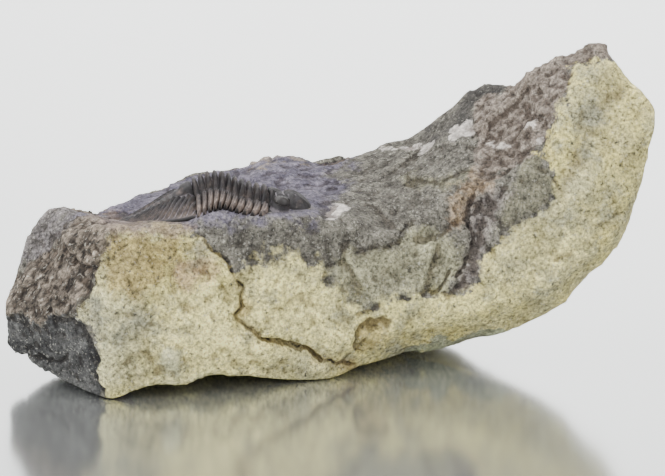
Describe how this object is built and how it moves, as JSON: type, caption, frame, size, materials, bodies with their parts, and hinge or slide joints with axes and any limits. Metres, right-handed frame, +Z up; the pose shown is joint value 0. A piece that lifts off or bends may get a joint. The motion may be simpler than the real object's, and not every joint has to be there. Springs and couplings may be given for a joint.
{
  "type": "trilobite fossil",
  "caption": "Arched trilobite with a ribbed tail and large eyes, lying on a boat-shaped block of weathered limestone that sweeps up at one end.",
  "frame": {"origin": "middle of the bounding box in plan, on the surface the stone lies on", "axes": "+X along the stone towards its upturned end, the way the animal's head points; +Y across, from the weathered front to the back; +Z up"},
  "size_m": [0.1458, 0.066, 0.072],
  "materials": {
    "matrix": "dull weathered rind over grey broken rock",
    "shell": "dark fossil shell with a faint sheen"
  },
  "bodies": {
    "root": {"matrix_stone": "matrix", "cephalon": "shell", "thorax_segment_01": "shell", "thorax_segment_02": "shell", "thorax_segment_03": "shell", "thorax_segment_04": "shell", "thorax_segment_05": "shell", "thorax_segment_06": "shell", "thorax_segment_07": "shell", "thorax_segment_08": "shell", "thorax_segment_09": "shell", "thorax_segment_10": "shell", "thorax_segment_11": "shell", "pygidium": "shell"}
  },
  "joints": []
}
